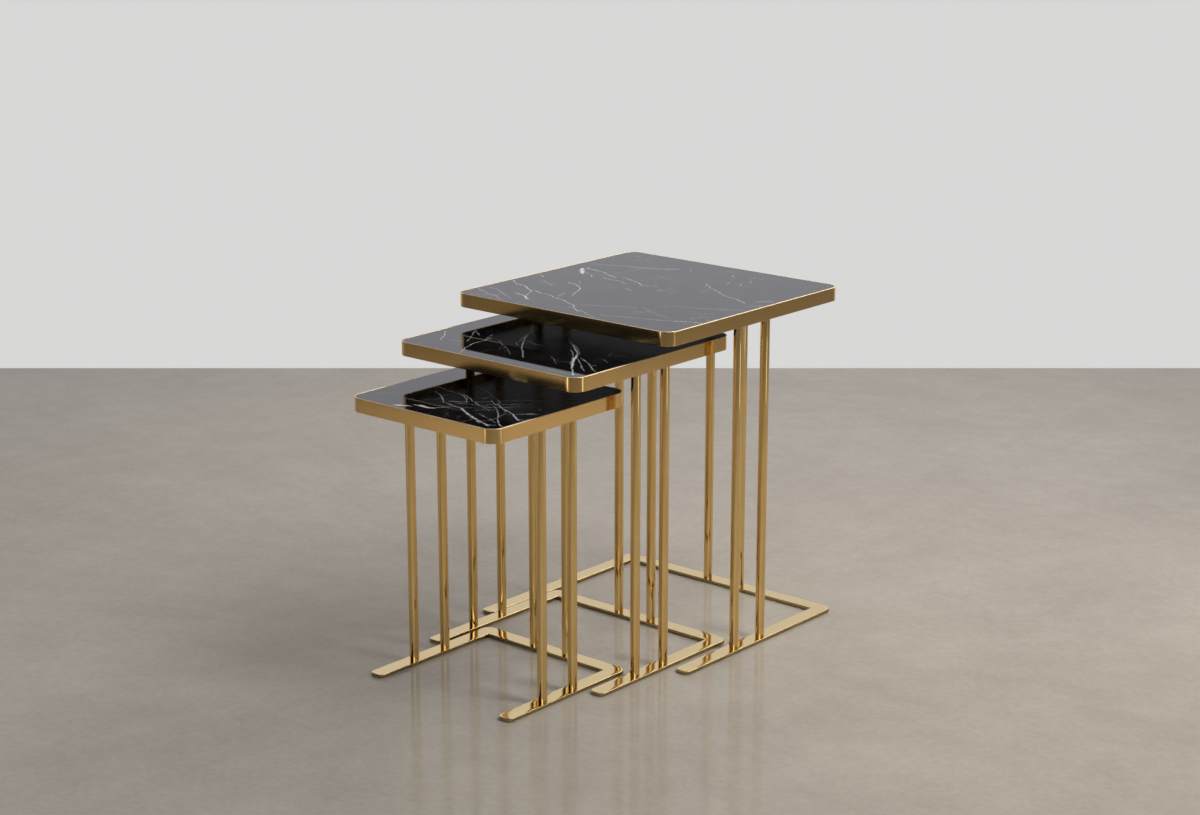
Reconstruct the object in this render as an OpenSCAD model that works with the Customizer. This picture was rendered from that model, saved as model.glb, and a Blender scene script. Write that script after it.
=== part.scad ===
// Nest of three square side tables.
// Each table is a stone slab in a metal rim, carried by six tubes that stand
// in pairs on the left arm, the right arm and the back bar of a U-shaped base.
// The open front of each base lets the next smaller table slide in under it.
// Millimetres, +Z up. The origin is on the floor, at the centre of the
// footprint of the three tables as they stand, with the open side towards -Y.

/* [Large table] */
// Side of the square top
large_side = 436; // [425:1:460]
// Height of the top above the floor
large_height = 550; // [540:1:620]
// Distance of the base's front ends behind the top's front edge
large_setback = 51; // [30:1:80]

/* [Medium table] */
// Side of the square top
medium_side = 366; // [358:1:368]
// Height of the top above the floor
medium_height = 505; // [490:1:515]
// Distance of the base's front ends behind the top's front edge
medium_setback = 57; // [30:1:80]
// How far its front edge stands in front of the large table's
medium_pull = 159; // [0:1:360]
// Sideways place of its centre from the large table's centre
medium_shift = -7; // [-8:1:8]

/* [Small table] */
// Side of the square top
small_side = 294; // [286:1:298]
// Height of the top above the floor
small_height = 450; // [430:1:465]
// Distance of the base's front ends behind the top's front edge
small_setback = 28; // [20:1:60]
// How far its front edge stands in front of the large table's
small_pull = 293; // [240:1:440]
// Sideways place of its centre from the large table's centre
small_shift = -8.5; // [-10:0.5:-4]

/* [Top] */
// Height of the metal rim
rim_h = 22; // [20:1:26]
// Thickness of the rim's band
rim_t = 2.5; // [2:0.5:4]
// Outer radius of the top's corners
top_r = 22; // [14:1:30]
// Thickness of the stone slab
stone_t = 10; // [8:1:12]
// Gap all round between the slab and the rim
stone_gap = 0.3; // [0.2:0.1:0.6]
// Thickness of the support panel under the slab
panel_t = 3; // [3:0.5:4]

/* [Base] */
// Width of the flat bar
bar_w = 26; // [24:1:32]
// Thickness of the flat bar
bar_t = 5; // [4:0.5:8]
// Outer radius of the two back corners
base_r = 14; // [8:1:20]
// Radius of the corners at each arm's front end
end_r = 8; // [3:1:11]

/* [Tubes] */
// Outer diameter of a tube
tube_d = 15; // [12:1:18]
// Wall thickness of a tube
tube_t = 1.3; // [1:0.1:2]
// Distance between the two tubes of a pair
tube_pitch = 68; // [50:1:90]
// Length of the threaded plug in each tube end
plug_l = 14; // [12:1:20]

/* [Fasteners and glides] */
// Thread diameter of the countersunk screws
screw_d = 5; // [4:1:5]
// Diameter of the countersunk head
head_d = 10; // [9:0.5:10]
// Hole for the screw to pass through
screw_hole_d = 5.5; // [5.2:0.1:5.8]
// Length of a top screw, head included
top_screw_l = 12; // [10:1:14]
// Length of a base screw, head included
base_screw_l = 14; // [12:1:16]
// Width across flats of the hexagon socket
socket_af = 3; // [2:0.5:3]
// Diameter of a glide under the base
glide_d = 18; // [12:1:22]
// Thickness of a glide
glide_t = 1; // [1:0.5:3]

/* [Hidden] */
$fn = 96;

// Tables by number: 0 large, 1 medium, 2 small
side = [large_side, medium_side, small_side];
height = [large_height, medium_height, small_height];
setback = [large_setback, medium_setback, small_setback];
pull = [0, medium_pull, small_pull];
shift = [0, medium_shift, small_shift];

// Places of one table's parts: x from its centre, y from its top's front edge
LEFT_FRONT = 0;
LEFT_BACK = 1;
RIGHT_FRONT = 2;
RIGHT_BACK = 3;
BACK_LEFT = 4;
BACK_RIGHT = 5;
arm_x = [for (s = side) s / 2 - bar_w / 2];
tube_at = [for (t = [0:2]) [
  [-arm_x[t], side[t] / 2 - tube_pitch / 2],
  [-arm_x[t], side[t] / 2 + tube_pitch / 2],
  [arm_x[t], side[t] / 2 - tube_pitch / 2],
  [arm_x[t], side[t] / 2 + tube_pitch / 2],
  [-tube_pitch / 2, side[t] - bar_w / 2],
  [tube_pitch / 2, side[t] - bar_w / 2]
]];
glide_at = [for (t = [0:2]) [
  [-arm_x[t], setback[t] + 16],
  [arm_x[t], setback[t] + 16],
  [-arm_x[t], side[t] - bar_w / 2],
  [0, side[t] - bar_w / 2],
  [arm_x[t], side[t] - bar_w / 2]
]];

base_z = glide_t + bar_t;                                  // base's top face
panel_z = [for (h = height) h - stone_t - panel_t];        // panel's underside
plug_d = tube_d - 2 * tube_t;
cone_h = (head_d - screw_d) / 2;                           // 90 degree head
mid_y = (large_side - small_pull) / 2;                     // middle of the footprint

brass = [0.78, 0.60, 0.32];
satin_brass = [0.66, 0.51, 0.28];
pale_brass = [0.84, 0.70, 0.44];
stone = [0.07, 0.07, 0.08];
paint = [0.10, 0.10, 0.10];
steel = [0.62, 0.62, 0.64];
felt = [0.16, 0.15, 0.14];

// Moves a table's own frame to where that table stands
module place(t) {
  translate([shift[t], -pull[t] - mid_y, 0]) children();
}

// A rounded square, x from the centre and y from 0 to w
module rounded_square(w, r) {
  translate([0, w / 2]) union() {
    square([w - 2 * r, w], center = true);
    square([w, w - 2 * r], center = true);
    for (x = [-1, 1], y = [-1, 1])
      translate([x * (w / 2 - r), y * (w / 2 - r)]) circle(r);
  }
}

// One arm of the base, its front end rounded at both corners
module arm_2d(l) {
  union() {
    translate([-bar_w / 2, end_r]) square([bar_w, l - end_r]);
    translate([-bar_w / 2 + end_r, 0]) square([bar_w - 2 * end_r, l]);
    for (x = [-1, 1]) translate([x * (bar_w / 2 - end_r), end_r]) circle(end_r);
  }
}

// What a rounded outer corner loses, in the corner at +X +Y of the origin
module corner_waste(r) {
  difference() {
    translate([-r, -r]) square([r + 1, r + 1]);
    translate([-r, -r]) circle(r);
  }
}

// The U of the base, seen from above
module base_2d(t) {
  difference() {
    union() {
      for (x = [-1, 1])
        translate([x * arm_x[t], setback[t]]) arm_2d(side[t] - setback[t]);
      translate([-side[t] / 2, side[t] - bar_w]) square([side[t], bar_w]);
    }
    for (m = [0, 1]) mirror([m, 0])
      translate([side[t] / 2, side[t]]) corner_waste(base_r);
  }
}

// A countersunk screw, head up at z 0 and shank down
module screw(l) {
  difference() {
    union() {
      translate([0, 0, -cone_h]) cylinder(d1 = screw_d, d2 = head_d, h = cone_h);
      translate([0, 0, -l]) cylinder(d = screw_d, h = l - cone_h);
    }
    translate([0, 0, -1.8]) cylinder(d = socket_af / cos(30), h = 3, $fn = 6);
  }
}

// The room a screw needs in the sheet that it passes through, head side up
module screw_room(t) {
  translate([0, 0, -cone_h]) cylinder(d1 = screw_d, d2 = head_d, h = cone_h);
  translate([0, 0, -t - 1]) cylinder(d = screw_hole_d, h = t + 1);
  cylinder(d = head_d, h = 1);
}

module stone_top(t) {
  color(stone) place(t)
    translate([0, rim_t + stone_gap, height[t] - stone_t])
      linear_extrude(stone_t)
        rounded_square(side[t] - 2 * (rim_t + stone_gap), top_r - rim_t - stone_gap);
}

module rim(t) {
  color(satin_brass) place(t)
    translate([0, 0, height[t] - rim_h])
      linear_extrude(rim_h)
        difference() {
          rounded_square(side[t], top_r);
          translate([0, rim_t]) rounded_square(side[t] - 2 * rim_t, top_r - rim_t);
        }
}

module support_panel(t) {
  color(paint) place(t)
    difference() {
      translate([0, rim_t, panel_z[t]])
        linear_extrude(panel_t)
          rounded_square(side[t] - 2 * rim_t, top_r - rim_t);
      for (p = tube_at[t])
        translate([p.x, p.y, panel_z[t] + panel_t]) screw_room(panel_t);
    }
}

module base(t) {
  color(pale_brass) place(t)
    difference() {
      translate([0, 0, glide_t]) linear_extrude(bar_t) base_2d(t);
      for (p = tube_at[t])
        translate([p.x, p.y, glide_t]) mirror([0, 0, 1]) screw_room(bar_t);
    }
}

module tube(t, i) {
  color(brass) place(t)
    translate([tube_at[t][i].x, tube_at[t][i].y, base_z])
      difference() {
        cylinder(d = tube_d, h = panel_z[t] - base_z);
        translate([0, 0, -1]) cylinder(d = plug_d, h = panel_z[t] - base_z + 2);
      }
}

// Threaded plugs, one in each end of each tube
module tube_plugs(t) {
  color(steel) place(t)
    for (p = tube_at[t], z = [base_z, panel_z[t] - plug_l])
      translate([p.x, p.y, z])
        difference() {
          cylinder(d = plug_d, h = plug_l);
          translate([0, 0, -1]) cylinder(d = screw_d, h = plug_l + 2);
        }
}

module top_screws(t) {
  color(steel) place(t)
    for (p = tube_at[t])
      translate([p.x, p.y, panel_z[t] + panel_t]) screw(top_screw_l);
}

module base_screws(t) {
  color(steel) place(t)
    for (p = tube_at[t])
      translate([p.x, p.y, glide_t]) mirror([0, 0, 1]) screw(base_screw_l);
}

module glides(t) {
  color(felt) place(t)
    for (p = glide_at[t]) translate([p.x, p.y, 0]) cylinder(d = glide_d, h = glide_t);
}

stone_top(0);  // large_stone_top
rim(0);  // large_rim
support_panel(0);  // large_support_panel
base(0);  // large_base
tube(0, LEFT_FRONT);  // large_tube_left_front
tube(0, LEFT_BACK);  // large_tube_left_back
tube(0, RIGHT_FRONT);  // large_tube_right_front
tube(0, RIGHT_BACK);  // large_tube_right_back
tube(0, BACK_LEFT);  // large_tube_back_left
tube(0, BACK_RIGHT);  // large_tube_back_right
tube_plugs(0);  // large_tube_plugs
top_screws(0);  // large_top_screws
base_screws(0);  // large_base_screws
glides(0);  // large_glides

stone_top(1);  // medium_stone_top
rim(1);  // medium_rim
support_panel(1);  // medium_support_panel
base(1);  // medium_base
tube(1, LEFT_FRONT);  // medium_tube_left_front
tube(1, LEFT_BACK);  // medium_tube_left_back
tube(1, RIGHT_FRONT);  // medium_tube_right_front
tube(1, RIGHT_BACK);  // medium_tube_right_back
tube(1, BACK_LEFT);  // medium_tube_back_left
tube(1, BACK_RIGHT);  // medium_tube_back_right
tube_plugs(1);  // medium_tube_plugs
top_screws(1);  // medium_top_screws
base_screws(1);  // medium_base_screws
glides(1);  // medium_glides

stone_top(2);  // small_stone_top
rim(2);  // small_rim
support_panel(2);  // small_support_panel
base(2);  // small_base
tube(2, LEFT_FRONT);  // small_tube_left_front
tube(2, LEFT_BACK);  // small_tube_left_back
tube(2, RIGHT_FRONT);  // small_tube_right_front
tube(2, RIGHT_BACK);  // small_tube_right_back
tube(2, BACK_LEFT);  // small_tube_back_left
tube(2, BACK_RIGHT);  // small_tube_back_right
tube_plugs(2);  // small_tube_plugs
top_screws(2);  // small_top_screws
base_screws(2);  // small_base_screws
glides(2);  // small_glides
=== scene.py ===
import math

import bpy
import numpy as np
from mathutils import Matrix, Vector
from mathutils.geometry import tessellate_polygon


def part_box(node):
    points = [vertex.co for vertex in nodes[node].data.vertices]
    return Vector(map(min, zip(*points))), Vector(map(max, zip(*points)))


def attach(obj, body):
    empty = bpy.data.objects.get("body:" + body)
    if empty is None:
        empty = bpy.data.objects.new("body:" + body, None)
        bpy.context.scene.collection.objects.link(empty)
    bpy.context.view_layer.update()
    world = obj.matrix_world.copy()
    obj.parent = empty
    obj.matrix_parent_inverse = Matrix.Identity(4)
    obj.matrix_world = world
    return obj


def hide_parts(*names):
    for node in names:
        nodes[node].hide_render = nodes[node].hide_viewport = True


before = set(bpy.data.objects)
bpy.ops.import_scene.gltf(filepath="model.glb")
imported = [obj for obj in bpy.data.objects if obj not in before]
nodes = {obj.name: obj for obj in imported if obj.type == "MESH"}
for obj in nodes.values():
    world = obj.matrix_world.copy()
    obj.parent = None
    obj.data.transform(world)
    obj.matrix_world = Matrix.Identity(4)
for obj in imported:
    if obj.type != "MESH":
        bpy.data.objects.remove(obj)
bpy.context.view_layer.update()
MM = 0.001
TABLES = ("large", "medium", "small")

# ---------------------------------------------------------------- camera
CAM_AZ = math.radians(40.58)
CAM_PITCH = math.radians(15.12)
cam_data = bpy.data.cameras.new("camera")
cam_data.sensor_width = 36.0
cam_data.lens = 70.92
cam_data.clip_start, cam_data.clip_end = 0.05, 60
cam = bpy.data.objects.new("camera", cam_data)
bpy.context.scene.collection.objects.link(cam)
cam.location = (2.3283, -2.6914, 1.3466)
look = Vector((-math.sin(CAM_AZ) * math.cos(CAM_PITCH), math.cos(CAM_AZ) * math.cos(CAM_PITCH), -math.sin(CAM_PITCH)))
cam.rotation_mode = "QUATERNION"
cam.rotation_quaternion = look.to_track_quat("-Z", "Y")
bpy.context.scene.camera = cam


# ---------------------------------------------------------------- mesh building
class Build:
    """A mesh with shared vertices and its own normal and UV at every face corner."""

    def __init__(self):
        self.v, self.f, self.n, self.uv, self.mat = [], [], [], [], []

    def vert(self, x, y, z):
        self.v.append((x, y, z))
        return len(self.v) - 1

    def face(self, idx, normals, uvs=None, mat=0):
        self.f.append(list(idx))
        self.n.extend(normals)
        self.uv.extend(uvs if uvs else [(0.0, 0.0)] * len(idx))
        self.mat.append(mat)

    def make(self, name, materials, body, node):
        me = bpy.data.meshes.new(name)
        me.from_pydata(self.v, [], self.f)
        layer = me.uv_layers.new(name="band")
        layer.data.foreach_set("uv", np.array(self.uv, np.float32).ravel())
        me.polygons.foreach_set("use_smooth", [True] * len(self.f))
        me.polygons.foreach_set("material_index", self.mat)
        for m in materials:
            me.materials.append(m)
        me.update()
        me.normals_split_custom_set([Vector(n).normalized() for n in self.n])
        ob = bpy.data.objects.new(name, me)
        bpy.context.scene.collection.objects.link(ob)
        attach(ob, body)
        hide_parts(node)
        return ob


def outline(corners, seg):
    """Closed counter-clockwise outline from [(x, y, radius)]: points, outward normals, length so far."""
    pts, nrm = [], []
    n = len(corners)
    for i in range(n):
        p0, p1, p2 = (Vector(corners[j % n][:2]) for j in (i - 1, i, i + 1))
        r = corners[i][2]
        a, b = (p1 - p0).normalized(), (p2 - p1).normalized()
        ang = math.atan2(a.x * b.y - a.y * b.x, a.dot(b))
        s = 1.0 if ang > 0 else -1.0
        na = Vector((a.y, -a.x))
        start = p1 - a * (r * math.tan(abs(ang) / 2))
        c = start - na * (s * r)
        k = seg if r > 1.0 * MM else 4
        for j in range(k + 1):
            t = ang * j / k
            nn = Vector((na.x * math.cos(t) - na.y * math.sin(t), na.x * math.sin(t) + na.y * math.cos(t)))
            pts.append(c + nn * (s * r))
            nrm.append(nn)
    length = [0.0]
    for i in range(len(pts)):
        length.append(length[-1] + (pts[(i + 1) % len(pts)] - pts[i]).length)
    return pts, nrm, length


def arc(cd, cz, r, a0, a1, k):
    """Profile samples (inset, z, normal inset, normal z) on an arc, angles in degrees, 180 pointing outward."""
    out = []
    for j in range(k + 1):
        a = math.radians(a0 + (a1 - a0) * j / k)
        out.append((cd + r * math.cos(a), cz + r * math.sin(a), math.cos(a), math.sin(a)))
    return out


def sweep(b, line, profile, closed, mat=0):
    """Rings of the outline, one for each profile sample, joined by quads. Returns the rings' vertex numbers."""
    pts, nrm, length = line
    n = len(pts)
    rings = [[b.vert(p.x - q.x * d, p.y - q.y * d, z) for p, q in zip(pts, nrm)] for d, z, _, _ in profile]
    along = [0.0]
    for k in range(len(profile)):
        d0, z0 = profile[k][:2]
        d1, z1 = profile[(k + 1) % len(profile)][:2]
        along.append(along[-1] + math.hypot(d1 - d0, z1 - z0))
    for k in range(len(profile) if closed else len(profile) - 1):
        k2 = (k + 1) % len(profile)
        which = mat(k) if callable(mat) else mat
        for i in range(n):
            i2 = (i + 1) % n
            idx = (rings[k][i], rings[k][i2], rings[k2][i2], rings[k2][i])
            nn = []
            for kk, ii in ((k, i), (k, i2), (k2, i2), (k2, i)):
                _, _, nd, nz = profile[kk]
                nn.append((-nd * nrm[ii].x, -nd * nrm[ii].y, nz))
            uv = [(length[i], along[k]), (length[i + 1], along[k]), (length[i + 1], along[k + 1]), (length[i], along[k + 1])]
            b.face(idx, nn, uv, which)
    return rings


def cap(b, ring, up, holes=(), mat=0):
    """Flat face on a ring of vertices, with round holes given as rings."""
    z = (0.0, 0.0, 1.0 if up else -1.0)
    loops = [list(ring)] + [list(h) for h in holes]
    flat = [i for l in loops for i in l]
    if not holes:
        idx = flat if up else flat[::-1]
        b.face(idx, [z] * len(idx), [(b.v[i][0], b.v[i][1]) for i in idx], mat)
        return
    tris = tessellate_polygon([[Vector((b.v[i][0], b.v[i][1], 0)) for i in l] for l in loops])
    for t in tris:
        idx = [flat[i] for i in t]
        (x0, y0, _), (x1, y1, _), (x2, y2, _) = (b.v[i] for i in idx)
        area = (x1 - x0) * (y2 - y0) - (x2 - x0) * (y1 - y0)
        if abs(area) < 1e-13:
            continue
        if (area > 0) != up:
            idx = idx[::-1]
        b.face(idx, [z] * 3, [(b.v[i][0], b.v[i][1]) for i in idx], mat)


def lathe(b, x, y, profile, seg, closed):
    """A turned shape about the upright line through x, y, from [(radius, z, normal r, normal z)]."""
    rings = []
    for r, z, _, _ in profile:
        rings.append([b.vert(x + r * math.cos(2 * math.pi * i / seg), y + r * math.sin(2 * math.pi * i / seg), z) for i in range(seg)])
    along = [0.0]
    for k in range(len(profile)):
        r0, z0 = profile[k][:2]
        r1, z1 = profile[(k + 1) % len(profile)][:2]
        along.append(along[-1] + math.hypot(r1 - r0, z1 - z0))
    for k in range(len(profile) if closed else len(profile) - 1):
        k2 = (k + 1) % len(profile)
        for i in range(seg):
            i2 = (i + 1) % seg
            nn, uv = [], []
            for kk, ii, up in ((k, i, 0), (k, i + 1, 0), (k2, i + 1, 1), (k2, i, 1)):
                a = 2 * math.pi * ii / seg
                _, _, nr, nz = profile[kk]
                nn.append((nr * math.cos(a), nr * math.sin(a), nz))
                uv.append((a * 0.0075, along[k + up]))
            b.face((rings[k][i], rings[k][i2], rings[k2][i2], rings[k2][i]), nn, uv)
    return rings


def square(lo, hi, r):
    return [(hi.x, lo.y, r), (hi.x, hi.y, r), (lo.x, hi.y, r), (lo.x, lo.y, r)]


# ---------------------------------------------------------------- materials
class Mat:
    """Short calls for building a node tree."""

    def __init__(self, name, tree=None):
        if tree is None:
            self.m = bpy.data.materials.new(name)
            self.m.use_nodes = True
            self.t = self.m.node_tree
        else:
            self.m, self.t = None, tree
        self.t.nodes.clear()

    def node(self, kind, inputs=None, **props):
        n = self.t.nodes.new(kind)
        for k, v in props.items():
            setattr(n, k, v)
        for k, v in (inputs or {}).items():
            self.put(n.inputs[k], v)
        return n

    def put(self, socket, v):
        if isinstance(v, bpy.types.NodeSocket):
            self.t.links.new(v, socket)
        else:
            socket.default_value = v

    def math(self, op, a, b=None, c=None, clamp=False):
        n = self.t.nodes.new("ShaderNodeMath")
        n.operation, n.use_clamp = op, clamp
        for i, v in enumerate((a, b, c)):
            if v is not None:
                self.put(n.inputs[i], v)
        return n.outputs[0]

    def vec(self, op, a, b=None, scale=None):
        n = self.t.nodes.new("ShaderNodeVectorMath")
        n.operation = op
        self.put(n.inputs[0], a)
        if b is not None:
            self.put(n.inputs[1], b)
        if scale is not None:
            self.put(n.inputs["Scale"], scale)
        return n.outputs["Value"] if op in ("DOT_PRODUCT", "LENGTH", "DISTANCE") else n.outputs["Vector"]

    def noise(self, vector, scale, detail=2.0, rough=0.5, out="Fac", **extra):
        n = self.node("ShaderNodeTexNoise", {"Vector": vector, "Scale": scale, "Detail": detail, "Roughness": rough}, **extra)
        return n.outputs[out]

    def ramp(self, fac, stops, mode="LINEAR"):
        n = self.node("ShaderNodeValToRGB", {"Fac": fac})
        n.color_ramp.interpolation = mode
        e = n.color_ramp.elements
        while len(e) < len(stops):
            e.new(0.5)
        for x, (p, c) in zip(e, stops):
            x.position = p
            x.color = (c, c, c, 1) if isinstance(c, (int, float)) else (*c, 1)
        return n.outputs["Color"]

    def span(self, v, a0, a1, b0, b1, smooth=False):
        n = self.node("ShaderNodeMapRange", {"Value": v, "From Min": a0, "From Max": a1, "To Min": b0, "To Max": b1})
        n.clamp = True
        if smooth:
            n.interpolation_type = "SMOOTHSTEP"
        return n.outputs["Result"]

    def mix(self, fac, a, b):
        n = self.t.nodes.new("ShaderNodeMix")
        n.data_type = "RGBA"
        self.put(n.inputs["Factor"], fac)
        self.put(n.inputs[6], a)
        self.put(n.inputs[7], b)
        return n.outputs[2]

    def bsdf(self, **inputs):
        n = self.node("ShaderNodeBsdfPrincipled")
        for k, v in inputs.items():
            self.put(n.inputs[k.replace("_", " ")], v)
        o = self.node("ShaderNodeOutputMaterial", {"Surface": n.outputs[0]})
        o.is_active_output = True
        return n

    def bump(self, height, strength, distance):
        return self.node("ShaderNodeBump", {"Height": height, "Strength": strength, "Distance": distance}).outputs[0]


BRASS = (0.87, 0.62, 0.265)


def brass_rim():
    """Satin brass, brushed along the band."""
    m = Mat("satin_brass_brushed")
    uv = m.node("ShaderNodeUVMap", uv_map="band").outputs[0]
    stretched = m.node("ShaderNodeMapping", {"Vector": uv, "Scale": (30, 4200, 1)}).outputs[0]
    fine = m.noise(stretched, 1.0, 3.0, 0.6)
    streak = m.noise(m.node("ShaderNodeMapping", {"Vector": uv, "Scale": (12, 900, 1)}).outputs[0], 1.0, 2.0, 0.5)
    obj = m.node("ShaderNodeTexCoord").outputs["Object"]
    cloud = m.noise(obj, 14.0, 3.0, 0.5)
    tone = m.math("ADD", m.span(streak, 0.25, 0.75, -0.05, 0.05), m.span(cloud, 0.3, 0.7, -0.03, 0.03))
    fac = m.math("ADD", 0.5, m.math("MULTIPLY", tone, 4.0), clamp=True)
    col = m.mix(fac, (0.82, 0.545, 0.215, 1), (0.92, 0.630, 0.272, 1))
    rough = m.math("ADD", m.span(fine, 0.2, 0.8, 0.095, 0.14), m.span(cloud, 0.3, 0.7, -0.012, 0.012))
    tangent = m.node("ShaderNodeTangent", direction_type="UV_MAP", uv_map="band").outputs[0]
    n = m.bsdf(Base_Color=col, Metallic=1.0, Roughness=rough, Normal=m.bump(fine, 0.025, 0.0002))
    n.inputs["Anisotropic"].default_value = 0.45
    n.inputs["Anisotropic Rotation"].default_value = 0.25
    m.put(n.inputs["Tangent"], tangent)
    return m.m


def brass_lip():
    """The rim's rounded upper edge, brushed matt, with a paler colour that is a painted highlight, standing in for the
    pale line of light along the top.
    """
    m = Mat("satin_brass_lip")
    uv = m.node("ShaderNodeUVMap", uv_map="band").outputs[0]
    fine = m.noise(m.node("ShaderNodeMapping", {"Vector": uv, "Scale": (60, 3000, 1)}).outputs[0], 1.0, 3.0, 0.6)
    cloud = m.noise(m.node("ShaderNodeTexCoord").outputs["Object"], 26.0, 3.0, 0.55)
    # painted highlight: the paler colour stands in for the pale line of light along the rim's top
    col = m.mix(m.span(cloud, 0.3, 0.7, 0.0, 1.0), (0.70, 0.545, 0.325, 1), (0.79, 0.630, 0.390, 1))
    rough = m.math("ADD", m.span(fine, 0.2, 0.8, 0.30, 0.40), m.span(cloud, 0.3, 0.7, -0.02, 0.02))
    m.bsdf(Base_Color=col, Metallic=1.0, Roughness=rough, Normal=m.bump(fine, 0.05, 0.0001))
    return m.m


def brass_tube():
    """Polished brass tube with the faint rings that turned polishing leaves."""
    m = Mat("polished_brass_tube")
    uv = m.node("ShaderNodeUVMap", uv_map="band").outputs[0]
    rings = m.noise(m.node("ShaderNodeMapping", {"Vector": uv, "Scale": (8, 2600, 1)}).outputs[0], 1.0, 2.0, 0.5)
    obj = m.node("ShaderNodeTexCoord").outputs["Object"]
    cloud = m.noise(obj, 22.0, 2.0, 0.5)
    col = m.mix(m.span(cloud, 0.3, 0.7, 0.0, 1.0), (0.84, 0.59, 0.25, 1), (0.89, 0.645, 0.285, 1))
    rough = m.math("ADD", m.span(rings, 0.2, 0.8, 0.032, 0.060), m.span(cloud, 0.3, 0.7, -0.006, 0.008))
    tangent = m.node("ShaderNodeTangent", direction_type="UV_MAP", uv_map="band").outputs[0]
    n = m.bsdf(Base_Color=col, Metallic=1.0, Roughness=rough)
    n.inputs["Anisotropic"].default_value = 0.40
    n.inputs["Anisotropic Rotation"].default_value = 0.25
    m.put(n.inputs["Tangent"], tangent)
    return m.m


def brass_bar():
    """Mirror-polished brass bar, with a slight wave left by hand polishing and fine wiping marks."""
    m = Mat("polished_brass_bar")
    obj = m.node("ShaderNodeTexCoord").outputs["Object"]
    wave = m.noise(obj, 38.0, 1.0, 0.4)
    cloud = m.noise(obj, 16.0, 3.0, 0.55)
    scratch = m.noise(m.node("ShaderNodeMapping", {"Vector": obj, "Rotation": (0, 0, 0.5), "Scale": (900, 60, 60)}).outputs[0], 1.0, 2.0, 0.5)
    col = m.mix(m.span(cloud, 0.3, 0.7, 0.0, 1.0), (0.85, 0.65, 0.315, 1), (0.885, 0.69, 0.345, 1))
    rough = m.math("ADD", m.span(cloud, 0.3, 0.7, 0.045, 0.085), m.span(scratch, 0.62, 0.8, 0.0, 0.05))
    m.bsdf(Base_Color=col, Metallic=1.0, Roughness=rough, Normal=m.bump(wave, 0.10, 0.0004))
    return m.m


def shaded_brass_edge():
    """The bar's cut edges: the same brass left unpolished and finely grained, with a darker, browner colour that is
    painted shade, standing in for the shaded floor the sides mirror.
    """
    m = Mat("brass_edge_painted_shade")
    obj = m.node("ShaderNodeTexCoord").outputs["Object"]
    grain = m.noise(m.node("ShaderNodeMapping", {"Vector": obj, "Scale": (300, 300, 2500)}).outputs[0], 1.0, 3.0, 0.6)
    cloud = m.noise(obj, 30.0, 3.0, 0.55)
    # painted shade: the darker brown stands in for the shade mirrored in the bar's sides
    col = m.mix(m.span(cloud, 0.3, 0.7, 0.0, 1.0), (0.40, 0.295, 0.130, 1), (0.52, 0.390, 0.180, 1))
    rough = m.math("ADD", m.span(grain, 0.2, 0.8, 0.20, 0.30), m.span(cloud, 0.3, 0.7, -0.02, 0.02))
    m.bsdf(Base_Color=col, Metallic=1.0, Roughness=rough, Normal=m.bump(grain, 0.10, 0.0001))
    return m.m


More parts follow.
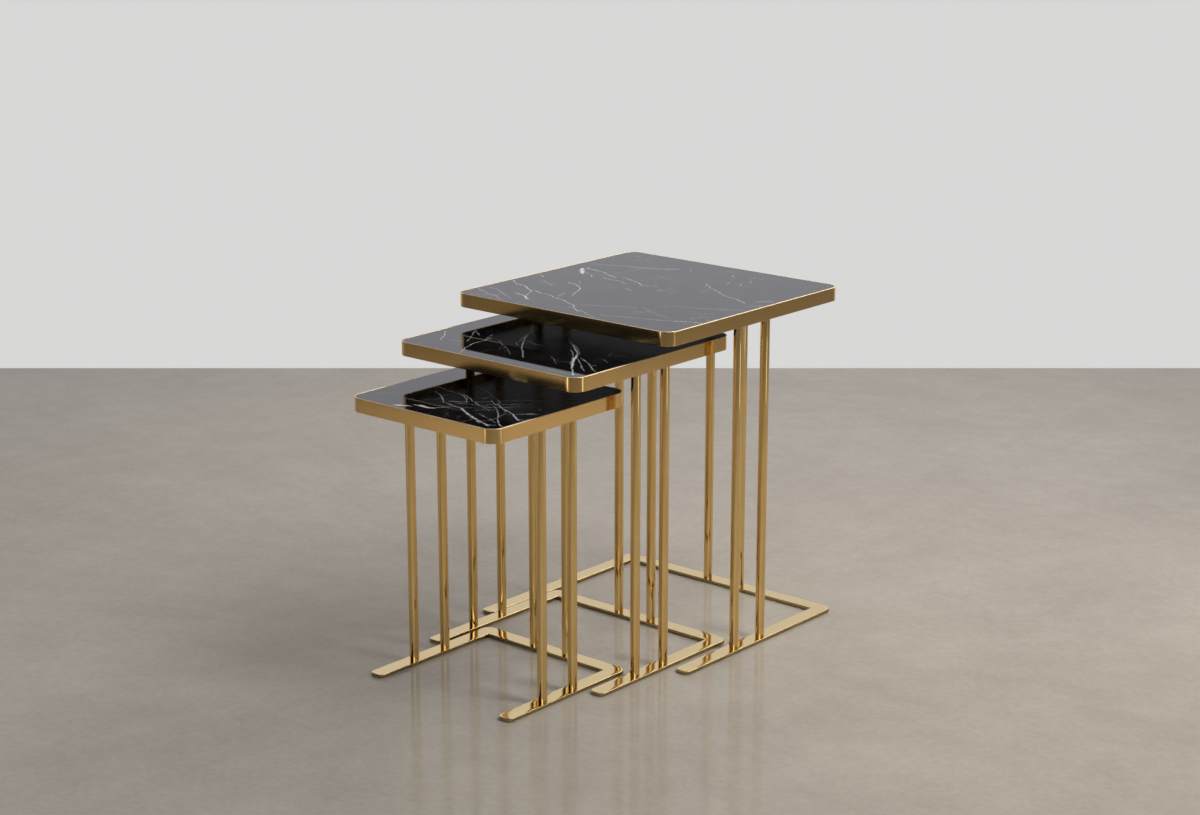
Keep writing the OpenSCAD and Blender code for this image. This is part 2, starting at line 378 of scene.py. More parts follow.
# Veins in millimetres from the slab's front left corner: (half width, strength, points). A point may carry its own
# factors for width and strength.
VEINS = {
    "large": [
        (0.9, 0.80, [(12, 120, 1.2, 1.2), (32, 106), (45, 106), (58, 100), (70, 90), (83, 83), (90, 72), (97, 57)]),
        (0.8, 0.75, [(85, 88), (100, 83), (112, 81), (125, 80), (140, 72), (155, 68), (170, 63), (185, 55), (200, 50), (212, 37), (225, 28), (235, 22)]),
        (0.7, 0.6, [(235, 27), (250, 20), (265, 13), (280, 6)]),
        (0.9, 0.8, [(88, 168), (105, 165), (118, 157), (130, 146), (137, 135), (143, 120), (150, 108), (155, 101)]),
        (0.7, 0.5, [(92, 190), (102, 178)]),
        (0.7, 0.5, [(133, 105), (138, 95), (142, 82)]),
        (4.2, 1.25, [(31, 266, 0.7, 0.8), (38, 257), (47, 247, 1.1, 1.0), (57, 236, 0.6, 0.7)]),
        (0.9, 0.7, [(35, 275), (40, 268)]),
        (1.0, 0.6, [(60, 243), (75, 238), (85, 228)]),
        (0.9, 0.7, [(40, 272), (60, 270), (80, 264), (100, 254), (115, 248)]),
        (0.9, 0.75, [(130, 255), (145, 250), (160, 245), (175, 240), (190, 228), (200, 232), (210, 240)]),
        (0.8, 0.7, [(108, 232), (125, 229), (145, 230), (158, 222)]),
        (0.8, 0.35, [(85, 245), (95, 243)]),
        (4.0, 0.16, [(20, 307), (50, 318), (75, 328), (95, 330), (110, 338, 1, 1.7), (130, 346, 1, 1.9), (145, 355, 1, 1.7), (155, 365)]),
        (0.8, 0.6, [(262, 302), (275, 292), (290, 282), (305, 273), (320, 263), (335, 254), (350, 248), (365, 246)]),
        (1.1, 0.7, [(368, 244), (390, 233)]),
        (3.6, 0.11, [(310, 125), (325, 143), (345, 150), (370, 160), (395, 175), (420, 190)]),
        (3.2, 0.11, [(205, 55), (230, 68), (255, 82), (285, 98)]),
        (3.0, 0.14, [(280, 25), (310, 37), (345, 47), (370, 55), (400, 72, 0.7, 2.5), (415, 78, 0.6, 3.0), (432, 82, 0.6, 3.0)]),
        (1.6, 0.16, [(380, 122), (400, 140)]),
        (1.6, 0.14, [(295, 106), (315, 95), (340, 83), (370, 75)]),
        (0.7, 0.5, [(50, 152), (65, 143), (80, 135)]),
        (0.8, 0.6, [(5, 42), (25, 33), (45, 24), (65, 20), (85, 8)]),
        (0.8, 0.55, [(15, 60), (40, 53), (60, 42), (80, 30), (95, 22)]),
        (1.8, 0.8, [(78, 55), (98, 50), (115, 37)]),
        (0.9, 0.5, [(15, 182), (28, 175)]),
        (7.0, 0.12, [(402, 250), (410, 258), (418, 266)]),
        (2.0, 0.25, [(416, 224), (424, 232)]),
        (2.0, 0.22, [(410, 211), (416, 219)]),
        (1.0, 0.4, [(172, 376), (181, 366)]),
        (1.0, 0.45, [(254, 382), (263, 373)]),
        (1.0, 0.45, [(285, 385), (298, 390)]),
        (1.0, 0.45, [(303, 366), (311, 356)]),
        (0.9, 0.4, [(283, 335), (287, 327)]),
        (0.9, 0.4, [(303, 338), (310, 330)]),
        (0.9, 0.4, [(185, 195), (200, 188)]),
        (2.4, 0.16, [(220, 398), (245, 410)]),
        (1.8, 0.16, [(28, 402), (40, 404)]),
        (1.8, 0.16, [(65, 390), (75, 385)]),
        (2.6, 0.10, [(160, 300), (190, 300)]),
    ],
    "medium": [
        (1.1, 0.95, [(44, 47), (37, 60), (28, 73), (15, 89)]),
        (0.8, 0.6, [(60, 55), (68, 56), (74, 60)]),
        (1.2, 0.95, [(124, 7, 0.8, 0.9), (115, 24), (106, 43), (102, 55), (100, 70, 1, 0.9), (100, 87, 1, 0.8), (99, 103, 0.8, 0.6)]),
        (1.0, 0.7, [(82, 68), (75, 81), (64, 96), (52, 112), (46, 124)]),
        (0.9, 0.6, [(45, 124), (60, 113), (69, 107)]),
        (0.9, 0.6, [(99, 90), (90, 106), (84, 120)]),
        (1.1, 0.85, [(70, 228, 0.9, 0.7), (94, 203, 1, 0.9), (115, 177, 1.5, 1.15), (124, 157, 1.3, 1.0), (136, 137, 1.1, 0.9), (151, 117, 1.1, 0.9), (169, 96, 1, 0.9), (190, 73, 1, 0.9), (216, 45, 0.9, 0.9)]),
        (0.9, 0.5, [(117, 168), (125, 151), (135, 132), (144, 117)]),
        (1.6, 1.0, [(172, 193, 0.6, 0.8), (189, 179, 0.7, 0.9), (208, 162, 1.2, 1.1), (227, 146, 1.1, 1.0), (246, 130, 1.2, 1.0), (266, 112, 1.3, 1.1), (279, 92, 2.2, 1.2), (292, 70, 2.0, 1.2), (311, 47, 1.2, 1.1), (341, 16, 1.1, 1.1)]),
        (1.0, 0.7, [(206, 167), (225, 151), (245, 136), (266, 116)]),
        (1.2, 0.6, [(244, 122), (262, 106), (280, 84), (296, 61)]),
        (1.0, 0.7, [(288, 88), (310, 67), (336, 44)]),
        (1.0, 0.7, [(289, 95), (310, 83), (332, 65), (350, 51)]),
        (0.9, 0.5, [(322, 75), (330, 73), (331, 77)]),
        (0.9, 0.4, [(121, 96), (141, 81), (155, 74)]),
        (0.9, 0.35, [(164, 68), (175, 59), (187, 48)]),
        (0.9, 0.35, [(145, 108), (159, 97)]),
        (1.0, 0.35, [(305, 139), (300, 150), (296, 160)]),
        (1.0, 0.3, [(313, 112), (321, 109), (331, 102)]),
        (1.0, 0.3, [(300, 12), (313, 14), (330, 12)]),
        (0.8, 0.3, [(154, 126), (169, 120), (182, 119)]),
        (0.8, 0.3, [(246, 75), (262, 64), (279, 49)]),
        (0.9, 0.55, [(20, 300), (48, 284), (66, 262), (72, 240), (70, 228)]),
        (1.0, 0.6, [(120, 330), (136, 304), (140, 280), (152, 252), (158, 226), (172, 193)]),
        (0.8, 0.5, [(205, 352), (222, 322), (250, 300), (280, 286), (310, 262), (345, 250)]),
        (3.6, 0.12, [(190, 250), (225, 262), (262, 282), (300, 310)]),
        (0.7, 0.4, [(250, 300), (244, 270), (252, 240), (246, 212)]),
    ],
    "small": [
        (2.6, 1.05, [(84, 8, 0.6, 0.8), (90, 10), (97, 13), (106, 16, 0.5, 0.7)]),
        (3.4, 1.1, [(109, 27, 0.5, 0.8), (115, 29), (124, 28, 1.0, 1.0), (134, 27, 0.8, 0.9), (140, 30, 0.5, 0.7)]),
        (1.6, 0.35, [(139, 30), (144, 39), (149, 45), (156, 53)]),
        (1.6, 0.28, [(136, 46), (145, 49), (151, 57)]),
        (1.3, 0.95, [(130, 64, 0.6, 0.6), (148, 61, 0.7, 0.7), (163, 58, 0.8, 0.8), (171, 58), (182, 50, 1.3, 1.1), (198, 42, 1.3, 1.1), (215, 34, 1.4, 1.1), (235, 25, 1.2, 1.0), (250, 19, 1.2, 1.0), (263, 14, 1.3, 1.1)]),
        (0.9, 0.6, [(175, 53), (194, 42), (212, 33), (231, 24), (246, 17)]),
        (0.9, 0.85, [(78, 100, 1, 0.35), (90, 93, 1, 0.6), (101, 87, 1.1, 1.1), (112, 79, 1, 1.0), (123, 70, 1, 1.0)]),
        (1.3, 0.95, [(135, 75, 0.8, 0.8), (141, 79), (148, 84), (153, 89)]),
        (1.1, 0.45, [(153, 89), (160, 94), (169, 100), (174, 109), (178, 112)]),
        (0.9, 0.42, [(48, 125), (65, 122), (82, 118), (98, 115), (112, 113), (120, 114)]),
        (0.9, 0.95, [(120, 113), (123, 115), (132, 112), (143, 106), (158, 96), (163, 95)]),
        (0.9, 0.5, [(164, 94), (180, 86), (195, 79), (209, 74)]),
        (0.9, 0.85, [(123, 111), (133, 105), (144, 98), (152, 89)]),
        (1.0, 0.8, [(101, 164, 1, 0.5), (118, 158, 1, 0.7), (137, 150, 1, 0.9), (151, 142, 1.1, 1.1), (164, 133, 1.1, 1.1), (181, 125, 1, 0.9), (194, 118, 1, 0.7)]),
        (1.4, 0.9, [(159, 119, 0.7, 0.7), (160, 124), (160, 131), (161, 137)]),
        (1.1, 0.95, [(178, 115, 1, 0.8), (190, 107), (201, 103), (214, 97, 1.3, 1.1), (229, 91, 1.3, 1.1), (241, 85, 1.2, 1.0), (253, 80), (267, 70), (278, 62, 1, 0.8)]),
        (1.0, 0.8, [(195, 112), (208, 102), (221, 93), (233, 85)]),
        (0.9, 0.9, [(202, 94, 1, 0.7), (218, 83), (234, 68), (252, 48), (269, 31), (279, 24), (288, 21)]),
        (1.2, 0.9, [(192, 127, 0.8, 0.8), (200, 135), (208, 141), (215, 149), (221, 153)]),
        (1.0, 0.6, [(187, 99), (197, 106), (207, 113), (215, 122), (222, 131)]),
        (1.0, 0.5, [(196, 80), (204, 89), (215, 97), (221, 110), (230, 123), (239, 135)]),
        (1.2, 0.85, [(261, 90, 0.8, 0.8), (266, 97), (271, 101)]),
        (1.0, 0.45, [(249, 76), (255, 84), (261, 91)]),
        (1.0, 0.42, [(196, 61), (201, 70), (210, 75), (215, 85)]),
        (1.0, 0.45, [(147, 74), (159, 79), (174, 83), (187, 87), (196, 90)]),
        (0.9, 0.35, [(168, 58), (177, 65), (188, 71), (194, 82)]),
        (1.0, 0.4, [(245, 26), (247, 36), (248, 47), (245, 60), (241, 73)]),
        (1.2, 0.6, [(262, 17), (268, 17), (271, 21)]),
        (1.1, 0.6, [(276, 66), (285, 67), (287, 76)]),
        (1.2, 0.22, [(18, 38), (28, 47), (41, 57), (55, 69)]),
        (1.0, 0.45, [(176, 151), (179, 161), (181, 170)]),
        (0.8, 0.5, [(216, 51), (234, 43), (247, 38), (258, 33)]),
        (1.2, 0.85, [(191, 129, 1, 0.9), (199, 137), (206, 144), (217, 152), (226, 160, 0.8, 0.7)]),
        (1.1, 0.6, [(206, 113), (215, 120), (223, 132), (232, 135)]),
        (1.0, 0.75, [(236, 167, 0.8, 0.6), (243, 176), (247, 184), (254, 194), (266, 202, 0.8, 0.6)]),
        (0.9, 0.35, [(234, 153), (252, 166), (265, 182), (281, 189)]),
        (1.2, 0.85, [(263, 91, 0.8, 0.8), (270, 99), (279, 102, 0.8, 0.6)]),
        (0.9, 0.35, [(218, 103), (232, 111), (241, 121), (251, 133)]),
        (1.4, 0.4, [(262, 125), (268, 124)]),
        (1.0, 0.9, [(229, 90), (240, 87), (255, 78), (273, 64)]),
        (1.0, 0.5, [(278, 63), (284, 66), (287, 70)]),
        (0.9, 0.3, [(172, 161), (175, 167), (177, 173)]),
        (0.9, 0.5, [(60, 270), (80, 244), (90, 216), (98, 190), (101, 164)]),
        (0.9, 0.5, [(170, 290), (186, 260), (214, 244), (238, 220), (270, 210)]),
        (0.8, 0.4, [(225, 155), (236, 172), (240, 196), (252, 214)]),
    ],
}


def marble(name, node):
    """Polished black marble with listed white veins, a faint net of hairlines and a little cloudiness."""
    m = Mat("black_marble_" + name)
    lo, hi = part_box(node)
    obj = m.node("ShaderNodeTexCoord").outputs["Object"]
    p = m.node("ShaderNodeMapping", {"Vector": obj, "Location": tuple(-lo.x * 1000 if i == 0 else (-lo.y * 1000 if i == 1 else 0) for i in range(3)), "Scale": (1000, 1000, 1000)}).outputs[0]
    # three sizes of warp, so that no vein is a smooth line
    w1 = m.vec("SUBTRACT", m.noise(p, 0.045, 2.0, 0.5, out="Color"), (0.5, 0.5, 0.5))
    w2 = m.vec("SUBTRACT", m.noise(p, 0.28, 2.0, 0.6, out="Color"), (0.5, 0.5, 0.5))
    w3 = m.vec("SUBTRACT", m.noise(p, 0.85, 1.0, 0.5, out="Color"), (0.5, 0.5, 0.5))
    q = m.vec("ADD", m.vec("ADD", p, m.vec("SCALE", w1, scale=6.0)), m.vec("SCALE", w2, scale=6.0))
    q = m.vec("ADD", q, m.vec("SCALE", w3, scale=2.6))
    patchy = m.span(m.noise(p, 0.11, 2.0, 0.6), 0.34, 0.60, 0.45, 1.2)
    grain = m.span(m.noise(p, 0.8, 2.0, 0.6), 0.32, 0.66, 0.55, 1.2)
    total = None
    reach = 90.0
    gain = {"large": 1.25, "medium": 1.2, "small": 1.4}[name]
    for half, strength, pts in VEINS[name]:
        strength *= gain
        if half < 2.0 and name != "large":
            half *= 0.62
        x0, y0 = pts[0][:2]
        x1, y1 = pts[-1][:2]
        # the stored points run past both ends, so that a vein fades out and does not stop
        length = math.hypot(x1 - x0, y1 - y0)
        ux, uy = (x1 - x0) / length, (y1 - y0) / length
        pad = min(6.0, 0.35 * length) / length
        scale = 1.0 / (length * (1 + 2 * pad))
        s = m.math("ADD", m.vec("DOT_PRODUCT", q, (ux * scale, uy * scale, 0)), pad / (1 + 2 * pad) - (x0 * ux + y0 * uy) * scale)
        t = m.vec("DOT_PRODUCT", q, (-uy, ux, 0))
        t0 = -x0 * uy + y0 * ux
        curve = m.node("ShaderNodeRGBCurve", {"Color": s})
        curve.mapping.extend = "HORIZONTAL"
        rows = []
        for pt in pts:
            a = ((pt[0] - x0) * ux + (pt[1] - y0) * uy) / length
            a = (a + pad) / (1 + 2 * pad)
            if rows and a <= rows[-1][0] + 0.004:
                a = rows[-1][0] + 0.004
            off = -(pt[0] - x0) * uy + (pt[1] - y0) * ux
            wm, sm = (pt[2], pt[3]) if len(pt) > 2 else (1.0, 1.0)
            rows.append((a, 0.5 + off / (2 * reach), half * wm / 10.0, strength * sm / 1.6))
        rows = [(0.0, rows[0][1], rows[0][2] * 0.4, 0.0)] + rows + [(1.0, rows[-1][1], rows[-1][2] * 0.4, 0.0)]
        for ch in range(3):
            c = curve.mapping.curves[ch]
            while len(c.points) < len(rows):
                c.points.new(0.5, 0.5)
            for pnt, row in zip(c.points, rows):
                pnt.location = (min(1.0, max(0.0, row[0])), min(1.0, max(0.0, row[ch + 1])))
                pnt.handle_type = "VECTOR" if ch == 0 else "AUTO_CLAMPED"
        curve.mapping.update()
        sep = m.node("ShaderNodeSeparateColor", {"Color": curve.outputs[0]})
        centre = m.math("MULTIPLY_ADD", sep.outputs[0], 2 * reach, t0 - reach)
        d = m.math("ABSOLUTE", m.math("SUBTRACT", t, centre))
        width = m.math("MULTIPLY_ADD", sep.outputs[1], 13.0, 0.05)
        near = m.math("SUBTRACT", 1.0, m.math("DIVIDE", d, width), clamp=True)
        val = m.math("MULTIPLY", m.math("POWER", near, 1.1 if half < 2 else 1.2), m.math("MULTIPLY", sep.outputs[2], 1.6))
        total = val if total is None else m.math("MAXIMUM", total, val)
    total = m.math("MULTIPLY", m.math("MULTIPLY", total, patchy), grain)
    # hairlines: the edges of a warped cell pattern, shown only in patches
    v1 = m.node("ShaderNodeTexVoronoi", {"Vector": m.vec("ADD", p, m.vec("SCALE", w1, scale=38.0)), "Scale": 0.018, "Randomness": 1.0}, feature="DISTANCE_TO_EDGE").outputs["Distance"]
    v2 = m.node("ShaderNodeTexVoronoi", {"Vector": m.vec("ADD", q, m.vec("SCALE", w1, scale=16.0)), "Scale": 0.042, "Randomness": 1.0}, feature="DISTANCE_TO_EDGE").outputs["Distance"]
    h1 = m.math("MULTIPLY", m.span(v1, 0.0, 0.016, 1.0, 0.0), m.span(m.noise(p, 0.016, 2.0, 0.5), 0.50, 0.68, 0.0, 0.22))
    h2 = m.math("MULTIPLY", m.span(v2, 0.0, 0.022, 1.0, 0.0), m.span(m.noise(p, 0.024, 2.0, 0.5), 0.56, 0.72, 0.0, 0.10))
    fleck = m.span(m.noise(p, 0.75, 1.0, 0.5), 0.70, 0.80, 0.0, 0.10)
    net = m.math("MULTIPLY", m.math("MAXIMUM", h1, h2), {"large": 1.0, "medium": 0.45, "small": 0.9}[name])
    total = m.math("MAXIMUM", total, m.math("MAXIMUM", net, fleck), clamp=True)
    cloud = m.span(m.noise(p, 0.02, 4.0, 0.6), 0.42, 0.75, 0.0, 1.0)
    dark = m.mix(cloud, (0.0018, 0.0018, 0.0026, 1), (0.0065, 0.0065, 0.0085, 1))
    col = m.mix(total, dark, (0.78, 0.78, 0.80, 1))
    rough = m.math("MULTIPLY_ADD", total, 0.05, 0.030)
    n = m.bsdf(Base_Color=col, Roughness=rough)
    n.inputs["IOR"].default_value = 1.455
    n.inputs["Specular Tint"].default_value = (0.97, 0.955, 1.0, 1)
    return m.m


def paint():
    """Black powder coat with a fine orange-peel texture."""
    m = Mat("black_powder_coat")
    obj = m.node("ShaderNodeTexCoord").outputs["Object"]
    peel = m.noise(obj, 900.0, 2.0, 0.5)
    cloud = m.noise(obj, 18.0, 3.0, 0.6)
    col = m.mix(m.span(cloud, 0.3, 0.7, 0.0, 1.0), (0.005, 0.005, 0.005, 1), (0.009, 0.009, 0.009, 1))
    rough = m.math("ADD", m.span(cloud, 0.3, 0.7, 0.26, 0.30), m.span(peel, 0.3, 0.7, -0.02, 0.02))
    n = m.bsdf(Base_Color=col, Roughness=rough, Normal=m.bump(peel, 0.25, 0.0002))
    n.inputs["Specular IOR Level"].default_value = 0.05
    return m.m


def steel():
    """Zinc-plated steel, a little cloudy."""
    m = Mat("zinc_plated_steel")
    obj = m.node("ShaderNodeTexCoord").outputs["Object"]
    cloud = m.noise(obj, 420.0, 3.0, 0.6)
    fine = m.noise(obj, 2600.0, 2.0, 0.5)
    col = m.mix(m.span(cloud, 0.3, 0.7, 0.0, 1.0), (0.46, 0.47, 0.49, 1), (0.66, 0.66, 0.65, 1))
    rough = m.math("ADD", m.span(cloud, 0.3, 0.7, 0.24, 0.36), m.span(fine, 0.3, 0.7, -0.03, 0.04))
    m.bsdf(Base_Color=col, Metallic=1.0, Roughness=rough, Normal=m.bump(fine, 0.15, 0.0001))
    return m.m


def pad():
    """Dark rubber glide with fine speckle."""
    m = Mat("glide_rubber")
    obj = m.node("ShaderNodeTexCoord").outputs["Object"]
    fine = m.noise(obj, 1500.0, 3.0, 0.6)
    cloud = m.noise(obj, 200.0, 2.0, 0.5)
    col = m.mix(m.span(fine, 0.35, 0.7, 0.0, 1.0), (0.020, 0.019, 0.018, 1), (0.050, 0.047, 0.044, 1))
    rough = m.span(cloud, 0.3, 0.7, 0.72, 0.88)
    m.bsdf(Base_Color=col, Roughness=rough, Normal=m.bump(fine, 0.4, 0.0003))
    return m.m


RIM, LIP, TUBE, BAR, EDGE, PAINT, STEEL, PAD = brass_rim(), brass_lip(), brass_tube(), brass_bar(), shaded_brass_edge(), paint(), steel(), pad()

# ---------------------------------------------------------------- pieces
RIM_T = 2.5 * MM
BAR_W = 26 * MM
TUBE_NAMES = ("left_front", "left_back", "right_front", "right_back", "back_left", "back_right")


def make_rim(t):
    lo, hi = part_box(t + "_rim")
    line = outline(square(lo, hi, 22 * MM), 20)
    z0, z1 = lo.z, hi.z
    ro, ri = 0.5 * MM, 0.35 * MM
    prof = (
        arc(ro, z1 - ro, ro, 180, 90, 5)
        + arc(RIM_T - ri, z1 - ri, ri, 90, 0, 3)
        + arc(RIM_T - ri, z0 + ri, ri, 0, -90, 3)
        + arc(ro, z0 + ro, ro, -90, -180, 5)
    )
    b = Build()
    # faces 0 to 8, the outer upper edge, the top and the inner upper edge, take the paler brass with its painted
    # highlight
    sweep(b, line, prof, True, lambda k: 1 if k <= 8 else 0)
    return b.make(t + "_brushed_rim", [RIM, LIP], t + "_table", t + "_rim")


def make_stone(t):
    lo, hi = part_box(t + "_stone_top")
    line = outline(square(lo, hi, 19.2 * MM), 20)
    r = 0.5 * MM
    prof = (
        [(4 * MM, lo.z, 0.0, -1.0)]
        + arc(r, lo.z + r, r, -90, -180, 3)
        + arc(r, hi.z - r, r, 180, 90, 4)
        + [(4 * MM, hi.z, 0.0, 1.0)]
    )
    b = Build()
    rings = sweep(b, line, prof, False)
    cap(b, rings[0], False)
    cap(b, rings[-1], True)
    return b.make(t + "_marble_slab", [marble(t, t + "_stone_top")], t + "_table", t + "_stone_top")


def tube_places(t):
    out = []
    for n in TUBE_NAMES:
        lo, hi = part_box(f"{t}_tube_{n}")
        out.append(((lo.x + hi.x) / 2, (lo.y + hi.y) / 2))
    return out


def make_base(t):
    lo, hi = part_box(t + "_base")
    z0, z1 = lo.z, hi.z
    er, br, ir = 8 * MM, 14 * MM, 0.4 * MM
    line = outline(
        [
            (lo.x, lo.y, er), (lo.x + BAR_W, lo.y, er), (lo.x + BAR_W, hi.y - BAR_W, ir),
            (hi.x - BAR_W, hi.y - BAR_W, ir), (hi.x - BAR_W, lo.y, er), (hi.x, lo.y, er),
            (hi.x, hi.y, br), (lo.x, hi.y, br),
        ],
        14,
    )
    r, crown, inner = 0.6 * MM, 0.12 * MM, 6.0 * MM
    tilt = 2 * crown / (inner - r)
    top = arc(r, z1 - crown - r, r, 180, 90 + math.degrees(tilt), 5)
    for f in (0.25, 0.5, 0.75, 1.0):
        d = r + (inner - r) * f
        s = tilt * (1 - f)
        top.append((d, z1 - crown * (1 - f) ** 2, -s, 1.0))
    prof = [(inner, z0, 0.0, -1.0)] + arc(r, z0 + r, r, -90, -180, 4) + top
    b = Build()
    # profile samples 1 to 8 are the lower edge, the upright side and most of the upper edge, which take the darker
    # brass that paints shade on them
    rings = sweep(b, line, prof, False, lambda k: 1 if k <= 8 else 0)
    seg = 32
    cone_top = 2.4 * MM
    big, small = 5.15 * MM, 2.75 * MM
    low_rings, high_rings = [], []
    for x, y in tube_places(t):
        k = math.sqrt(0.5)
        hole = lathe_in(b, x, y, [(big, z0), (small, z0 + cone_top), (small, z1)], [(-k, -k), (-1.0, 0.0)], seg)
        low_rings.append(hole[0])
        high_rings.append(hole[-1])
    cap(b, rings[0], False, low_rings)
    cap(b, rings[-1], True, high_rings)
    return b.make(t + "_polished_base", [BAR, EDGE], t + "_table", t + "_base")


def lathe_in(b, x, y, profile, normals, seg):
    """The wall of a round hole, its faces looking inward, one normal for each band."""
    rings = [[b.vert(x + r * math.cos(2 * math.pi * i / seg), y + r * math.sin(2 * math.pi * i / seg), z) for i in range(seg)] for r, z in profile]
    for k, (nr, nz) in enumerate(normals):
        for i in range(seg):
            i2 = (i + 1) % seg
            nn = []
            for ii in (i, i, i2, i2):
                a = 2 * math.pi * ii / seg
                nn.append((nr * math.cos(a), nr * math.sin(a), nz))
            b.face((rings[k][i], rings[k + 1][i], rings[k + 1][i2], rings[k][i2]), nn)
    return rings


def make_tube(t, n):
    node = f"{t}_tube_{n}"
    lo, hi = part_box(node)
    x, y = (lo.x + hi.x) / 2, (lo.y + hi.y) / 2
    ro, ri, c = 7.5 * MM, 6.2 * MM, 0.25 * MM
    up = [(ro, z, 1.0, 0.0) for z in np.linspace(lo.z + c, hi.z - c, 9)]
    down = [(ri, z, -1.0, 0.0) for z in np.linspace(hi.z - 0.1 * MM, lo.z + 0.1 * MM, 5)]
    prof = (
        [(ro - c, lo.z, 0.3, -1.0)] + up + [(ro - c, hi.z, 0.3, 1.0), (ri + 0.1 * MM, hi.z, -0.3, 1.0)]
        + down + [(ri + 0.1 * MM, lo.z, -0.3, -1.0)]
    )
    b = Build()
    lathe(b, x, y, prof, 64, True)
    return b.make(f"{t}_polished_tube_{n}", [TUBE], t + "_table", node)


for t in TABLES:
    make_rim(t)
    make_stone(t)
    make_base(t)
    for n in TUBE_NAMES:
        make_tube(t, n)
    for part, m in (("support_panel", PAINT), ("tube_plugs", STEEL), ("top_screws", STEEL), ("base_screws", STEEL), ("glides", PAD)):
        o = nodes[f"{t}_{part}"]
        o.data.materials.clear()
        o.data.materials.append(m)
        for p in o.data.polygons:
            p.material_index = 0


# ---------------------------------------------------------------- floor
def floor_material():
    """Polished concrete: warm grey, faintly mottled."""
    m = Mat("pale_concrete")
    obj = m.node("ShaderNodeTexCoord").outputs["Object"]
    big = m.noise(obj, 1.1, 4.0, 0.55)
    mid = m.noise(obj, 5.0, 5.0, 0.62)
    small = m.noise(obj, 21.0, 4.0, 0.6)
    fine = m.noise(obj, 90.0, 4.0, 0.65)
    mott = m.math("ADD", m.math("MULTIPLY", big, 0.30), m.math("MULTIPLY", mid, 0.28))
    mott = m.math("ADD", mott, m.math("ADD", m.math("MULTIPLY", small, 0.18), m.math("MULTIPLY", fine, 0.24)))
    fac = m.span(mott, 0.40, 0.60, 0.0, 1.0)
    col = m.mix(fac, (0.350, 0.307, 0.250, 1), (0.436, 0.387, 0.321, 1))
    speck = m.span(m.noise(obj, 130.0, 2.0, 0.5), 0.66, 0.76, 0.0, 0.35)
    col = m.mix(speck, col, (0.24, 0.205, 0.17, 1))
    rough = m.span(m.math("ADD", m.math("MULTIPLY", fine, 0.5), m.math("MULTIPLY", mid, 0.5)), 0.3, 0.7, 0.07, 0.11)
    n = m.bsdf(Base_Color=col, Roughness=rough, Normal=m.bump(fine, 0.02, 0.0004))
    n.inputs["IOR"].default_value = 1.20
    return m.m


floor_far = 5.335  # from the camera's foot to the slab's far edge, along the view
fwd = Vector((-math.sin(CAM_AZ), math.cos(CAM_AZ), 0))
side = Vector((math.cos(CAM_AZ), math.sin(CAM_AZ), 0))
foot = Vector((cam.location.x, cam.location.y, 0))
fm = bpy.data.meshes.new("floor")
fm.from_pydata(
    [tuple(foot + fwd * a + side * s) for a, s in ((-6, -9), (-6, 9), (floor_far, 9), (floor_far, -9))],
    [], [(0, 1, 2, 3)],
)
fm.materials.append(floor_material())
floor = bpy.data.objects.new("floor", fm)
bpy.context.scene.collection.objects.link(floor)


# ---------------------------------------------------------------- light
def area(name, az, el, dist, sx, sy, power, colour=(1, 1, 1), aim=(0, 0, 0.3), spread=180):
    data = bpy.data.lights.new(name, "AREA")
    data.shape = "RECTANGLE"
    data.size, data.size_y = sx, sy
    data.energy = power
    data.color = colour
    data.spread = math.radians(spread)
    ob = bpy.data.objects.new(name, data)
    bpy.context.scene.collection.objects.link(ob)
    a, e = math.radians(az), math.radians(el)
    away = Vector((math.sin(a) * math.cos(e), -math.cos(a) * math.cos(e), math.sin(e)))
    ob.location = Vector(aim) + away * dist
    ob.rotation_mode = "QUATERNION"
    ob.rotation_quaternion = (-away).to_track_quat("-Z", "Y")
    ob.visible_camera = False
    return ob


def strip(name, az, dist, width, low, high, power, lights_floor):
    """An upright strip light that starts close to the floor. It lights either the floor alone, without highlights,
    or everything but the floor, so that the polished floor never mirrors it."""
    ob = area(name, az, 0, dist, width, high - low, power, aim=(0, 0, (low + high) / 2))
    ob.visible_glossy = not lights_floor
    group = bpy.data.collections.new(name + "_receivers")
    group.objects.link(floor)
    ob.light_linking.receiver_collection = group
    group.collection_objects[0].light_linking.link_state = "INCLUDE" if lights_floor else "EXCLUDE"
    return ob


area("key", 97, 50, 3.1, 0.9, 2.3, 16, spread=95)
area("back", 196, 45, 3.4, 2.2, 1.5, 42)
area("back_right", 150, 44, 3.4, 2.0, 1.5, 10, spread=90)
strip("floor_right", 100, 2.6, 0.34, 0.16, 1.4, 7.0, True)
strip("floor_left", -13, 2.8, 0.42, 0.16, 1.4, 10.5, True)
strip("line_right", 94.8, 1.67, 0.24, 0.01, 0.15, 0.105, False)
strip("line_left", -10.5, 1.91, 0.32, 0.01, 0.23, 0.29, False)
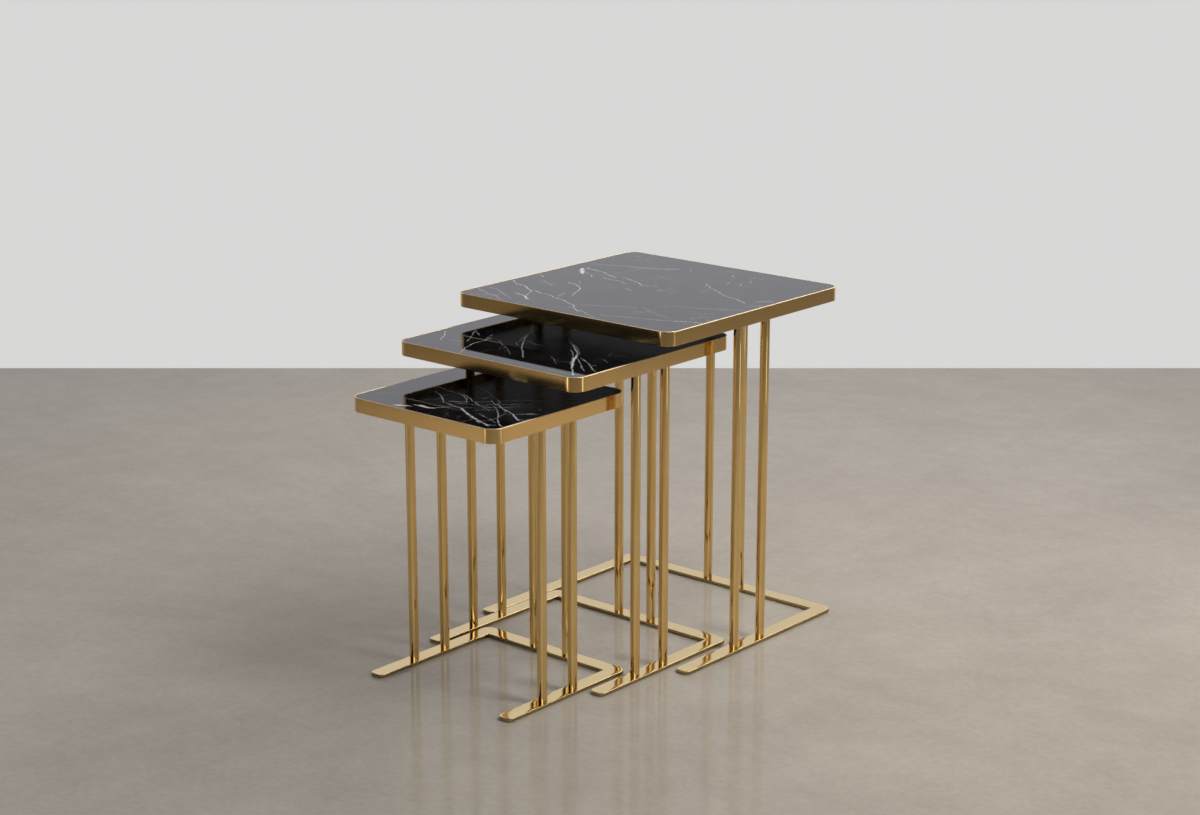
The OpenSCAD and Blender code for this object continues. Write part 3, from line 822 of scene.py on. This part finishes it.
# pools of light on the floor to the left and the right, which the rims mirror
area("pool_left", -60, 84, 1.25, 0.4, 0.4, 1.2, aim=(-0.82, -1.47, 0), spread=60)
area("pool_right", 110, 84, 1.25, 0.4, 0.4, 0.55, aim=(1.15, 1.00, 0), spread=55)

world = bpy.data.worlds.new("studio")
bpy.context.scene.world = world
world.use_nodes = True
w = Mat("world", world.node_tree)
WALL = (0.685, 0.685, 0.680, 1)
path = w.node("ShaderNodeLightPath")
direction = w.node("ShaderNodeTexCoord").outputs["Generated"]
# the pale wall stands behind the object, the studio is black to the viewer's left and overhead, and grey to the right
up = w.node("ShaderNodeSeparateXYZ", {"Vector": direction}).outputs[2]
ahead = w.span(w.vec("DOT_PRODUCT", direction, tuple(fwd)), 0.05, 0.55, 0.0, 1.0, smooth=True)
right = w.span(w.vec("DOT_PRODUCT", direction, tuple(side)), -0.55, 0.25, 0.0, 1.0, smooth=True)
around = w.mix(right, (0.015, 0.015, 0.016, 1), (0.13, 0.13, 0.132, 1))
around = w.mix(ahead, around, (0.665, 0.660, 0.700, 1))
room = w.mix(w.span(up, 0.40, 0.9, 0.0, 0.8, smooth=True), around, (0.02, 0.02, 0.02, 1))
# a pale window on the near side, 15 to 38 degrees up
near = w.span(w.vec("DOT_PRODUCT", direction, tuple(-fwd)), 0.84, 0.94, 0.0, 1.0, smooth=True)
near = w.math("MULTIPLY", near, w.span(up, 0.25, 0.36, 0.0, 1.0, smooth=True))
near = w.math("MULTIPLY", near, w.span(up, 0.52, 0.64, 1.0, 0.0, smooth=True))
room = w.mix(near, room, (1.8, 1.74, 1.60, 1))
room_light = w.node("ShaderNodeBackground", {"Color": room, "Strength": 1.0})
seen = w.node("ShaderNodeBackground", {"Color": WALL, "Strength": 1.0})
mixed = w.node("ShaderNodeMixShader", {0: path.outputs["Is Camera Ray"], 1: room_light.outputs[0], 2: seen.outputs[0]})
w.node("ShaderNodeOutputWorld", {"Surface": mixed.outputs[0]})

view = bpy.context.scene.view_settings
view.view_transform = "Standard"
view.look = "None"
view.exposure, view.gamma = 0.0, 1.0
